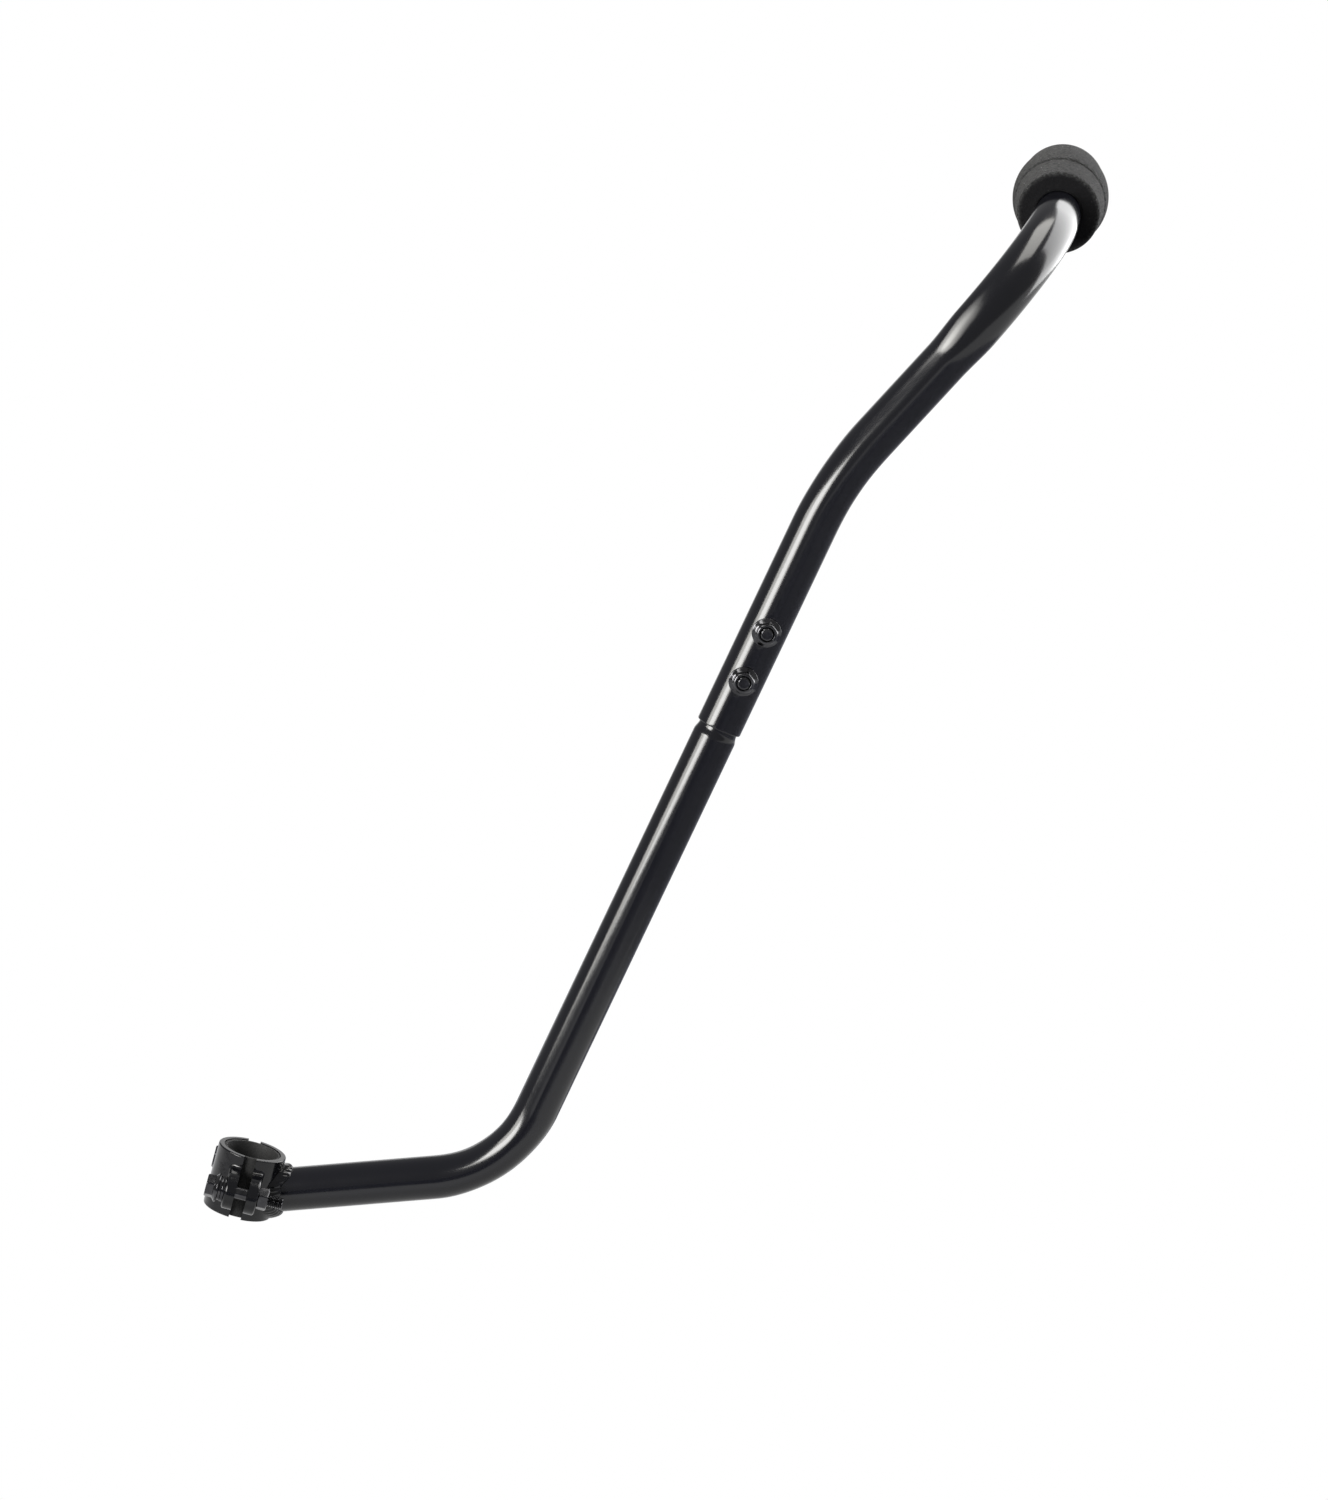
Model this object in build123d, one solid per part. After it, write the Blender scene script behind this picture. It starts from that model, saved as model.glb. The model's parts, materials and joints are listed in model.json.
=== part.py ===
from build123d import *
from math import cos, radians, sin, sqrt, tan
import os

# A push handle: a two-part clamp grips a round post, a bent lower tube is welded to the clamp's
# rear half, and a second bent tube slides over the necked top of the first, held by two through
# bolts, and carries a foam grip that points sideways.
# Millimetres. The origin is the middle of the clamp's bore. +X points to the rear, +Y to the right
# and +Z straight up.

# Clamp
bore_diameter = 25.4
bore_tilt = 15.5             # lean of the bore to the rear, degrees from upright
liner_thickness = 1.5
liner_gap = 0.2              # between the two halves of the lining when tightened
liner_inset = 0.4            # how far the rubber stays below the shells' rims
shell_thickness = 2.6
clamp_height = 31.5
clamp_gap = 6.0              # between the two halves when tightened
ear_thickness = 5.2
ear_height = 18.0
clamp_bolt_offset = 7.7      # from the shells' outer wall to the axis of each clamp bolt
ear_root_fillet = 1.8
ear_edge_fillet = 1.2
rim_fillet = 0.6

# Lower tube
lower_tube_diameter = 21.3
lower_tube_wall = 1.5
lower_run_slope = 4.5        # degrees above level
lower_run_drop = 7.0         # where the run's axis crosses the upright line through the origin
lower_run_length = 129.0     # from that crossing to the corner of the first bend
lower_bend_radius = 61.0
riser_slope = 65.0           # degrees above level
weld_leg = 3.0               # up the shell
weld_reach = 4.8             # along the tube
weld_round = 2.7

# Joint between the tubes
joint_station = 244.5        # along the riser, from the corner of the first bend to the upper tube's end
neck_length = 70.0           # of the lower tube inside the upper one
neck_clearance = 0.1
shoulder_length = 4.5
shoulder_gap = 0.9           # bare neck between the shoulder and the upper tube's end
first_joint_bolt = 26.7      # from the upper tube's end
joint_bolt_pitch = 26.0
bolt_seat_depth = 0.25       # flats pressed into the upper tube under the bolt heads and nuts
bolt_seat_room = 0.05        # round each flange in its flat

# Upper tube
upper_tube_diameter = 22.2
upper_tube_wall = 1.3
upper_run_length = 132.9     # from the tube's lower end to the corner of the second bend
crank_bend_radius = 168.0
crank_slope = 47.6           # degrees above level
crank_length = 150.7         # between the corners of the second and third bends
top_bend_radius = 90.0
top_bend_angle = 80.0        # turn to the right
top_bend_droop = 1.3         # lean of that turn towards the rear, degrees
tube_end_round = 0.4

# Foam grip
grip_length = 84.0
grip_end_wall = 10.0         # foam beyond the end of the tube
grip_end_radius = 20.2
grip_crease_radius = 22.4
grip_middle_radius = 23.9
grip_crease_station = 26.0   # from each end
grip_crease_depth = 1.2
grip_crease_width = 2.4
grip_inner_round = 2.6
grip_outer_round = 12.0
grip_fit = 0.05

# Bolts, nuts and washers
thread_diameter = 6.0
thread_fit = 0.05            # radial room between a bolt and its nut
bolt_hole_room = 0.4         # on the diameter, between a bolt and the hole it passes through
hex_across_flats = 10.0
flange_diameter = 14.2
flange_rim = 1.1
flange_height = 2.4
flange_top_diameter = 10.6
flange_head_height = 6.2
flange_nut_height = 6.0
plain_nut_height = 5.0
hex_chamfer_width = 1.1      # across the top face, from the corners
hex_chamfer_height = 0.55
bolt_end_chamfer = 0.7
bore_chamfer = 0.6
flat_washer_diameter = 12.5
flat_washer_thickness = 1.6
lock_washer_diameter = 11.8
lock_washer_thickness = 1.6
lock_washer_split = 1.2
lock_washer_slant = 30.0     # of the split, degrees
clamp_bolt_tip = 7.4         # thread that stands out beyond the nut
joint_bolt_tip = 0.8

# Derived sizes
bore_radius = bore_diameter / 2
liner_outer_radius = bore_radius + liner_thickness
shell_outer_radius = liner_outer_radius + shell_thickness
half_gap = clamp_gap / 2
ear_face = half_gap + ear_thickness
clamp_bolt_place = shell_outer_radius + clamp_bolt_offset
lower_radius = lower_tube_diameter / 2
upper_radius = upper_tube_diameter / 2
upper_bore_radius = upper_radius - upper_tube_wall
neck_radius = upper_bore_radius - neck_clearance
joint_seat = upper_radius - bolt_seat_depth
bar_length = grip_length - grip_end_wall
hole_radius = (thread_diameter + bolt_hole_room) / 2
lock_face = ear_face + flat_washer_thickness
head_face = lock_face + lock_washer_thickness
clamp_bolt_length = head_face + ear_face + plain_nut_height + clamp_bolt_tip
joint_bolt_length = joint_seat + joint_seat + flange_nut_height + joint_bolt_tip
reach = 2 * (clamp_bolt_place + ear_height)    # longer than any cut has to be
joint_stations = {
    "lower": joint_station + first_joint_bolt,
    "upper": joint_station + first_joint_bolt + joint_bolt_pitch,
}
sides = {"left": -1, "right": 1}


def slope(degrees):
    """Unit vector in the upright middle plane, that many degrees above level to the rear."""
    return Vector(cos(radians(degrees)), 0, sin(radians(degrees)))


# Directions and corners of the tubes' centre line
lower_direction = slope(lower_run_slope)
riser_direction = slope(riser_slope)
crank_direction = slope(crank_slope)
to_the_right = Vector(0, 1, 0)
turn_direction = (
    to_the_right * cos(radians(top_bend_droop)) + slope(crank_slope - 90) * sin(radians(top_bend_droop))
)
bar_direction = (
    crank_direction * cos(radians(top_bend_angle)) + turn_direction * sin(radians(top_bend_angle))
)
run_start = Vector(0, 0, -lower_run_drop)
first_corner = run_start + lower_direction * lower_run_length
second_corner = first_corner + riser_direction * (joint_station + upper_run_length)
third_corner = second_corner + crank_direction * crank_length
bar_start = third_corner + bar_direction * (top_bend_radius * tan(radians(top_bend_angle / 2)))
bar_end = bar_start + bar_direction * bar_length

# The clamp's own frame: x to the rear, y to the right, z up along the bore
clamp_frame = Plane(
    origin=(0, 0, 0),
    x_dir=(cos(radians(bore_tilt)), 0, -sin(radians(bore_tilt))),
    z_dir=(sin(radians(bore_tilt)), 0, cos(radians(bore_tilt))),
)


def riser_point(station):
    """Point on the riser's axis at a distance from the corner of the first bend."""
    return first_corner + riser_direction * station


def half_ring(inner, outer, height, gap):
    """Rear half of a ring round the bore, cut off at half the gap to the front half."""
    ring = Cylinder(outer, height) - Cylinder(inner, height)
    behind = Pos(gap / 2 + reach / 2, 0, 0) * Box(reach, reach, reach)
    return ring & behind


def clamp_shell():
    """Rear shell: a half ring with a rounded ear on each side, drilled for the clamp bolts."""
    ear_plane = Plane(origin=(half_gap, 0, 0), x_dir=(0, 1, 0), z_dir=(1, 0, 0))
    ears = extrude(ear_plane * SlotCenterToCenter(2 * clamp_bolt_place, ear_height), ear_thickness)
    ears = fillet(ears.faces().sort_by(Axis.X)[-1].edges(), ear_edge_fillet)
    ears -= Cylinder(liner_outer_radius, reach)
    ring = half_ring(liner_outer_radius, shell_outer_radius, clamp_height, clamp_gap)
    outside = ring.faces().filter_by(GeomType.CYLINDER).sort_by(Face.area)[-1]
    ring = fillet(outside.edges().filter_by(GeomType.CIRCLE), rim_fillet)
    shell = ring + ears
    root_y = sqrt(shell_outer_radius**2 - ear_face**2)
    roots = []
    for side in sides.values():
        roots.append(shell.edges().filter_by(Axis.Z).sort_by_distance((ear_face, side * root_y, 0))[0])
    shell = fillet(roots, ear_root_fillet)
    for side in sides.values():
        shell -= Pos(0, side * clamp_bolt_place, 0) * Rot(0, 90, 0) * Cylinder(hole_radius, reach)
    return shell


def clamp_liner():
    """Rear half of the rubber lining, which all but meets the front half between the shells."""
    return half_ring(bore_radius, liner_outer_radius, clamp_height - 2 * liner_inset, liner_gap)


def front_half(solid):
    """The same piece for the front of the clamp, turned half a turn about the bore."""
    return Rot(0, 0, 180) * solid


def tube_along(points, radii, radius):
    """Round bar swept along straight runs joined by arcs."""
    path = FilletPolyline(*points, radius=radii)
    section = Plane(origin=points[0], z_dir=points[1] - points[0]) * Circle(radius)
    return sweep(section, path)


def riser_revolve(outline):
    """Solid turned about the riser's axis from an outline of (station, radius) points and edges."""
    plane = Plane(origin=first_corner, x_dir=riser_direction, z_dir=(0, -1, 0))
    return revolve(plane * outline, Axis(first_corner, riser_direction))


def neck_outline(offset):
    """Shoulder and neck of the lower tube, from the axis out to the skin less an offset."""
    shoulder_top = joint_station - shoulder_gap
    shoulder_foot = shoulder_top - shoulder_length
    neck_end = joint_station + neck_length
    skin = Spline(
        (shoulder_foot, lower_radius - offset),
        (shoulder_top, neck_radius - offset),
        tangents=[(1, 0), (1, 0)],
    )
    rest = Polyline(
        (shoulder_top, neck_radius - offset),
        (neck_end, neck_radius - offset),
        (neck_end, 0),
        (shoulder_foot, 0),
        (shoulder_foot, lower_radius - offset),
    )
    return make_face(skin + rest)


def joint_holes():
    """Clearance holes for the two through bolts of the joint."""
    holes = []
    for station in joint_stations.values():
        holes.append(Pos(*riser_point(station)) * Rot(90, 0, 0) * Cylinder(hole_radius, reach))
    return holes


def lower_tube():
    """Tube from the clamp: coped to the rear shell, bent up once and necked at the top."""
    shoulder_foot = riser_point(joint_station - shoulder_gap - shoulder_length)
    points = [run_start, first_corner, shoulder_foot]
    outer = tube_along(points, lower_bend_radius, lower_radius) + riser_revolve(neck_outline(0))
    inner = tube_along(points, lower_bend_radius, lower_radius - lower_tube_wall)
    inner += riser_revolve(neck_outline(lower_tube_wall))
    tube = outer - inner
    tube -= clamp_frame * Cylinder(shell_outer_radius, reach)
    for hole in joint_holes():
        tube -= hole
    return tube


def weld_bead():
    """Rounded bead in the corner between the lower tube and the rear shell, all round the tube."""
    run_plane = Plane(origin=run_start, z_dir=lower_direction)
    toe = clamp_frame * Cylinder(shell_outer_radius + weld_reach, reach)
    bead = run_plane * extrude(Circle(lower_radius + weld_leg), reach) & toe
    crown = bead.edges().filter_by(GeomType.CIRCLE, reverse=True).sort_by(Edge.length)[-1]
    bead = fillet(crown, weld_round)
    bead -= run_plane * extrude(Circle(lower_radius), reach)
    bead -= clamp_frame * Cylinder(shell_outer_radius, reach)
    return bead


def upper_tube():
    """Tube over the neck: cranked back once, then bent away to the side to carry the grip."""
    points = [riser_point(joint_station), second_corner, third_corner, bar_end]
    radii = [crank_bend_radius, top_bend_radius]
    tube = tube_along(points, radii, upper_radius) - tube_along(points, radii, upper_bore_radius)
    mouth = tube.edges().filter_by(GeomType.CIRCLE).sort_by(Axis.Z)[:2].sort_by(Edge.length)[-1]
    tube = fillet(mouth, tube_end_round)
    for hole in joint_holes():
        tube -= hole
    for station in joint_stations.values():
        for side in sides.values():
            centre = riser_point(station) + to_the_right * (side * joint_seat)
            seat = Plane(origin=centre, z_dir=(0, side, 0))
            tube -= seat * extrude(Circle(flange_diameter / 2 + bolt_seat_room), upper_radius)
    return tube


def hexagon(height):
    """Hexagonal prism from z 0 up, with the corners of its top chamfered."""
    prism = extrude(RegularPolygon(hex_across_flats / 2, 6, major_radius=False), height)
    corner_radius = hex_across_flats / sqrt(3)
    round_bar = Cylinder(corner_radius, height, align=(Align.CENTER, Align.CENTER, Align.MIN))
    top = round_bar.faces().sort_by(Axis.Z)[-1]
    return prism & chamfer(top.edges(), hex_chamfer_width, hex_chamfer_height, reference=top)


def flange():
    """Bearing flange from z 0 up: a short rim under a cone."""
    outline = Polyline(
        (0, 0),
        (flange_diameter / 2, 0),
        (flange_diameter / 2, flange_rim),
        (flange_top_diameter / 2, flange_height),
        (0, flange_height),
        close=True,
    )
    return revolve(Plane.XZ * make_face(outline), Axis.Z)


def thread_bore(height):
    """Tapped hole through a nut, countersunk at both ends."""
    radius = thread_diameter / 2 + thread_fit
    outline = Polyline(
        (0, 0),
        (radius + bore_chamfer, 0),
        (radius, bore_chamfer),
        (radius, height - bore_chamfer),
        (radius + bore_chamfer, height),
        (0, height),
        close=True,
    )
    return revolve(Plane.XZ * make_face(outline), Axis.Z)


def flange_nut():
    """Hexagon nut on its flange, bearing face at z 0."""
    return flange() + hexagon(flange_nut_height) - thread_bore(flange_nut_height)


def plain_nut():
    """Plain hexagon nut, bearing face at z 0, chamfered on both faces."""
    height = plain_nut_height
    body = hexagon(height) & Pos(0, 0, height) * Rot(180, 0, 0) * hexagon(height)
    return body - thread_bore(height)


def flange_bolt(length):
    """Hexagon flange bolt: head up from z 0, shank of that length down from it."""
    shank = Cylinder(thread_diameter / 2, length, align=(Align.CENTER, Align.CENTER, Align.MAX))
    shank = chamfer(shank.edges().sort_by(Axis.Z)[0], bolt_end_chamfer)
    return flange() + hexagon(flange_head_height) + shank


def flat_washer():
    """Plain washer, z 0 up."""
    up = (Align.CENTER, Align.CENTER, Align.MIN)
    disc = Cylinder(flat_washer_diameter / 2, flat_washer_thickness, align=up)
    return disc - Cylinder(hole_radius, flat_washer_thickness, align=up)


def lock_washer():
    """Split spring washer pressed flat, z 0 up, with a slanting cut at its +Y side."""
    up = (Align.CENTER, Align.CENTER, Align.MIN)
    ring = Cylinder(lock_washer_diameter / 2, lock_washer_thickness, align=up)
    ring -= Cylinder(hole_radius, lock_washer_thickness, align=up)
    split = Rot(0, lock_washer_slant, 0) * Box(lock_washer_split, lock_washer_diameter, reach)
    return ring - Pos(0, lock_washer_diameter / 2, lock_washer_thickness / 2) * split


def grip():
    """Foam grip: a barrel with a crease near each end, closed and rounded at its far end."""
    middle = grip_length / 2
    hole = upper_radius + grip_fit
    crease_floor = grip_crease_radius - grip_crease_depth
    near_lip = grip_crease_station - grip_crease_width / 2
    far_lip = grip_crease_station + grip_crease_width / 2
    barrel = [
        Line((0, hole), (0, grip_end_radius)),
        Line((0, grip_end_radius), (near_lip, grip_crease_radius)),
        Line((near_lip, grip_crease_radius), (grip_crease_station, crease_floor)),
        Line((grip_crease_station, crease_floor), (far_lip, grip_crease_radius)),
        ThreePointArc(
            (far_lip, grip_crease_radius),
            (middle, grip_middle_radius),
            (grip_length - far_lip, grip_crease_radius),
        ),
        Line((grip_length - far_lip, grip_crease_radius), (grip_length - grip_crease_station, crease_floor)),
        Line((grip_length - grip_crease_station, crease_floor), (grip_length - near_lip, grip_crease_radius)),
        Line((grip_length - near_lip, grip_crease_radius), (grip_length, grip_end_radius)),
        Line((grip_length, grip_end_radius), (grip_length, 0)),
        Line((grip_length, 0), (bar_length + grip_fit, 0)),
        Line((bar_length + grip_fit, 0), (bar_length + grip_fit, hole)),
        Line((bar_length + grip_fit, hole), (0, hole)),
    ]
    outline = make_face(Curve() + barrel)
    corners = outline.vertices()
    near_corner = corners.sort_by_distance((0, grip_end_radius))[0]
    outline = fillet(near_corner, grip_inner_round)
    far_corner = outline.vertices().sort_by_distance((grip_length, grip_end_radius))[0]
    outline = fillet(far_corner, grip_outer_round)
    along_bar = Plane(origin=bar_start, x_dir=bar_direction, z_dir=bar_direction.cross(crank_direction))
    return revolve(along_bar * outline, Axis(bar_start, bar_direction))


def clamp_pieces():
    """Shells, liners and the bolt stack on each side of the bore."""
    pieces = {
        "rear_clamp_shell": clamp_shell(),
        "front_clamp_shell": front_half(clamp_shell()),
        "rear_clamp_liner": clamp_liner(),
        "front_clamp_liner": front_half(clamp_liner()),
    }
    for name, side in sides.items():
        forward = Pos(0, side * clamp_bolt_place, 0) * Rot(0, -90, 0)
        backward = Pos(0, side * clamp_bolt_place, 0) * Rot(0, 90, 0)
        pieces[f"{name}_clamp_washer"] = forward * Pos(0, 0, ear_face) * flat_washer()
        pieces[f"{name}_lock_washer"] = forward * Pos(0, 0, lock_face) * lock_washer()
        pieces[f"{name}_clamp_bolt"] = forward * Pos(0, 0, head_face) * flange_bolt(clamp_bolt_length)
        pieces[f"{name}_clamp_nut"] = backward * Pos(0, 0, ear_face) * plain_nut()
    return {name: clamp_frame * piece for name, piece in pieces.items()}


def joint_pieces():
    """Through bolts of the tube joint: heads on the right, flange nuts on the left."""
    pieces = {}
    for name, station in joint_stations.items():
        axis = Plane(origin=riser_point(station), x_dir=riser_direction, z_dir=(0, 1, 0))
        pieces[f"{name}_joint_bolt"] = axis * Pos(0, 0, joint_seat) * flange_bolt(joint_bolt_length)
        pieces[f"{name}_joint_nut"] = axis * Pos(0, 0, -joint_seat) * Rot(180, 0, 0) * flange_nut()
    return pieces


parts = {
    **clamp_pieces(),
    "lower_tube": lower_tube(),
    "tube_weld": weld_bead(),
    "upper_tube": upper_tube(),
    **joint_pieces(),
    "foam_grip": grip(),
}

os.makedirs("parts", exist_ok=True)
for name, part in parts.items():
    export_step(part, f"parts/{name}.step")
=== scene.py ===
"""Looks of a push handle: glossy bent tubes, a split clamp, a weld, threaded bolts and a foam grip.

Metres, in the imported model's frame: the origin is the middle of the clamp's bore, +X points to the rear,
+Y to the right and +Z up.
"""
import json
from math import cos, pi, radians, sin, tan
import bpy
import numpy as np
from mathutils import Matrix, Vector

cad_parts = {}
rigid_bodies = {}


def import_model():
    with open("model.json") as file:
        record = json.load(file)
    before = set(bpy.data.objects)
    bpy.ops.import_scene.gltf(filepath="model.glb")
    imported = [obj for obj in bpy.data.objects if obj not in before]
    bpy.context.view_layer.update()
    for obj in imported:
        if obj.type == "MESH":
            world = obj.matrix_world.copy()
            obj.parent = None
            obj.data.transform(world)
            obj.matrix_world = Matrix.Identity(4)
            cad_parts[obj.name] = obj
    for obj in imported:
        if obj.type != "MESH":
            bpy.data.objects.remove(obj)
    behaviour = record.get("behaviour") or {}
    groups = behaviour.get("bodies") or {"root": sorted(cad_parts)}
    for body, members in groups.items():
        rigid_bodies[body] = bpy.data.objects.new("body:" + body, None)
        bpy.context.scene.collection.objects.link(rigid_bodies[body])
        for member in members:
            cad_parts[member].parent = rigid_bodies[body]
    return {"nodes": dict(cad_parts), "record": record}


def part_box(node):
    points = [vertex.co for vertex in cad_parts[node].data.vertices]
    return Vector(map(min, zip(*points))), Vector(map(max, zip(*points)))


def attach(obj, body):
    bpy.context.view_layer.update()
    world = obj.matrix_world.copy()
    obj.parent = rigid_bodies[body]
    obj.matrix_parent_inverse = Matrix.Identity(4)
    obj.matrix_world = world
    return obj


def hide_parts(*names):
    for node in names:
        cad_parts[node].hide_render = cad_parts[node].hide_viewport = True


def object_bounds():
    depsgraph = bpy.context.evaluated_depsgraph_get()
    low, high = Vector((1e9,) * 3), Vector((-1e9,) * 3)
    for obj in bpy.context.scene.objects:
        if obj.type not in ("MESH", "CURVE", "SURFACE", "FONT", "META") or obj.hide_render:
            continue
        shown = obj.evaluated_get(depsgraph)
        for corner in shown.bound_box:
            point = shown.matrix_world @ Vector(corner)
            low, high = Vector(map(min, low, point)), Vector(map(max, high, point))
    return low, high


for leftover in list(bpy.data.objects):
    bpy.data.objects.remove(leftover)
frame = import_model()
cad_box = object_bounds()
nodes = frame["nodes"]
mm = 0.001

# Tubes' centre line, as the solids have it
lower_run_slope = radians(4.5)
lower_run_drop = 7.0 * mm
lower_run_length = 129.0 * mm
lower_bend_radius = 61.0 * mm
riser_slope = radians(65.0)
joint_station = 244.5 * mm
upper_run_length = 132.9 * mm
crank_bend_radius = 168.0 * mm
crank_slope = radians(47.6)
crank_length = 150.7 * mm
top_bend_radius = 90.0 * mm
top_bend_angle = radians(80.0)
top_bend_droop = radians(1.3)

# Tube sections
lower_radius = 10.65 * mm
lower_wall = 1.5 * mm
upper_radius = 11.1 * mm
upper_wall = 1.3 * mm
neck_radius = 9.7 * mm
neck_length = 70.0 * mm
shoulder_length = 4.5 * mm
shoulder_gap = 0.9 * mm
mouth_round = 0.5 * mm
bolt_seat_depth = 0.25 * mm
bolt_seat_slope = 0.35
lower_bend_flattening = 0.055
crank_bend_flattening = 0.02
top_bend_flattening = 0.09
flattening_ramp = 22.0 * mm
cope_fade = 40.0 * mm

# Clamp and weld
clamp_mount = frame["record"]["mounts"][0]
shell_outer_radius = 16.8 * mm
clamp_height = 31.5 * mm
bore_radius = 12.7 * mm
liner_thickness = 1.5 * mm
liner_inset = 0.4 * mm
liner_round = 0.3 * mm
liner_clearance = 0.002 * mm
weld_reach = 4.8 * mm
weld_leg = 3.0 * mm
weld_bulge = 0.9 * mm
weld_ripple_pitch = 2.1 * mm
weld_ripple_height = 0.32 * mm
weld_lump_height = 0.45 * mm
weld_ripple_bow = 1.4
weld_reach_spread = 0.28
weld_leg_spread = 0.15
weld_root_inset = 0.3 * mm

# Foam grip
grip_length = 83.98 * mm
grip_end_wall = 10.0 * mm
grip_end_radius = 20.2 * mm
grip_crease_radius = 22.4 * mm
grip_middle_radius = 23.9 * mm
grip_crease_station = 26.0 * mm
grip_crease_depth = 1.1 * mm
grip_crease_width = 2.2 * mm
grip_inner_round = 2.6 * mm
grip_outer_round = 12.0 * mm
foam_dent_height = 0.12 * mm
foam_pore_height = 0.05 * mm
foam_skin_start = 1.5 * mm
foam_skin_fade = 2.0 * mm
grip_clearance = 0.1 * mm
grip_mouth_round = 0.8 * mm
grip_face_margin = 0.2 * mm
grip_face_fade = 2.5 * mm
grip_pole_radius = 0.4 * mm

# Bolts, nuts and washers
thread_radius = 3.0 * mm
thread_pitch = 1.0 * mm
thread_depth = 0.55 * mm
thread_length = 18.0 * mm
thread_runout = 0.4 * mm
head_root = 0.3 * mm
bolt_end_round = 0.75 * mm
bolt_end_step = 0.8 * mm
hex_apothem = 5.0 * mm
flange_radius = 7.1 * mm
flange_rim = 1.1 * mm
flange_height = 2.4 * mm
flange_top_radius = 5.3 * mm
rim_round = 0.3 * mm
head_height = 6.2 * mm
flange_nut_height = 6.0 * mm
plain_nut_height = 5.0 * mm
chamfer_top_radius = 4.67 * mm
head_crown = 1.0 * mm
nut_crown = 2.9 * mm
nut_top_radius = 3.9 * mm
crown_radius = 5.85 * mm
chamfer_slope = 2.0
edge_softness = 0.1 * mm
crown_softness = 0.32 * mm
nut_bore = 3.05 * mm
nut_countersink = 0.6 * mm
nut_lip = 0.1 * mm
hole_radius = 3.2 * mm
washer_thickness = 1.6 * mm
washer_round = 0.3 * mm
flat_washer_radius = 6.25 * mm
lock_washer_radius = 5.9 * mm
lock_washer_split = 1.2 * mm
lock_washer_slant = radians(30.0)
ear_face = 8.2 * mm
clamp_bolt_length = 32.0 * mm
joint_bolt_length = 28.5 * mm

# Fineness of the meshes: points round a section, and rows along a piece
lower_tube_columns = 96
lower_tube_rows = 260
shoulder_rows = 60
neck_rows = 24
upper_tube_columns = 120
upper_tube_rows = 400
mouth_rows = 7
weld_columns = 360
weld_rows = 25
liner_rows = 73
grip_columns = 300
grip_side_rows = 150
fastener_columns = 144
thread_rows = 12
washer_rows = 96

# Colours
enamel_black = (0.0036, 0.0038, 0.0062)
clamp_black = (0.0026, 0.0027, 0.0038)
dust_grey = (0.06, 0.06, 0.06)
plating_dark = (0.055, 0.055, 0.059)
plating_light = (0.085, 0.085, 0.089)
rubber_dark = (0.009, 0.009, 0.009)
rubber_bloom = (0.02, 0.02, 0.02)
foam_dark = (0.009, 0.009, 0.0095)
foam_light = (0.07, 0.07, 0.071)
foam_speck = (0.4, 0.39, 0.38)
# Painted shade: the grip's near end face is coloured near black
foam_end_painted_shade = (0.003, 0.003, 0.004)
floor_grey = (0.4, 0.4, 0.4)
screen_grey = (0.44, 0.45, 0.52)
warm_white = (1.0, 0.985, 0.94)

# Studio: the backdrop's left, right, distance and top, and each post of the folding screen with its top
floor_level = -0.60
floor_half_width = 60.0
shadow_reach = (0.4, 0.95)
room_strength = 0.3
backdrop_edges = (-1.1, 1.6, 3.0, 1.3)
screen_posts = (
    (-0.9, -2.8, 0.25),
    (0.8, -1.75, 0.1),
    (1.15, -0.3, -0.02),
    (1.05, 0.55, -0.05),
    (0.62, 1.05, -0.05),
    (-0.4, 1.2, -0.05),
)

# Camera, as fitted to the photograph
camera_azimuth = radians(-1.3)
camera_elevation = radians(11.2)
camera_place = (157.27 * mm, -2127.14 * mm, 634.75 * mm)
camera_lens = 108.0
camera_sensor = 36.0


def unit(vector):
    """The vector over its length."""
    return vector / np.linalg.norm(vector)


def smooth(share):
    """Ramp from 0 to 1, level at both ends: 3t² - 2t³ with t held between 0 and 1."""
    t = np.clip(share, 0, 1)
    return t * t * (3 - 2 * t)


def slope(angle):
    """Direction to the rear in the upright middle plane, at an angle above level."""
    return np.array([cos(angle), 0, sin(angle)])


def around(axis, first, angles):
    """Unit vectors square to an axis, at angles from a first direction."""
    first = unit(first - axis * (axis @ first))
    return np.cos(angles)[..., None] * first + np.sin(angles)[..., None] * np.cross(axis, first)


def turn_about(axis, vector, angle):
    """The vector turned about an axis: its part along the axis stays and the rest goes round."""
    along = axis * (axis @ vector)
    across = vector - along
    return along + np.cos(angle) * across + np.sin(angle) * np.cross(axis, across)


def full_turn(columns):
    """Angles of that many points right round a section."""
    return np.linspace(0, 2 * pi, columns, endpoint=False)


# Directions and corners
to_the_right = np.array([0.0, 1.0, 0.0])
lower_direction = slope(lower_run_slope)
riser_direction = slope(riser_slope)
crank_direction = slope(crank_slope)
turn_direction = to_the_right * cos(top_bend_droop) + slope(crank_slope - pi / 2) * sin(top_bend_droop)
bar_direction = crank_direction * cos(top_bend_angle) + turn_direction * sin(top_bend_angle)
run_start = np.array([0.0, 0.0, -lower_run_drop])
first_corner = run_start + lower_direction * lower_run_length
joint_end = first_corner + riser_direction * joint_station
second_corner = joint_end + riser_direction * upper_run_length
third_corner = second_corner + crank_direction * crank_length
bar_start = third_corner + bar_direction * top_bend_radius * tan(top_bend_angle / 2)
bar_end = bar_start + bar_direction * (grip_length - grip_end_wall)
bore_axis = unit(np.array(clamp_mount["axis"]))
clamp_rear = np.cross(to_the_right, bore_axis)


def node_centre(node):
    """Middle of a solid's box."""
    low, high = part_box(node)
    return (np.array(low) + np.array(high)) / 2


def cells(grid):
    """The four corners of each cell of a grid, in order round the cell."""
    return np.stack([grid[:-1, :-1], grid[:-1, 1:], grid[1:, 1:], grid[1:, :-1]], 2)


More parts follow.
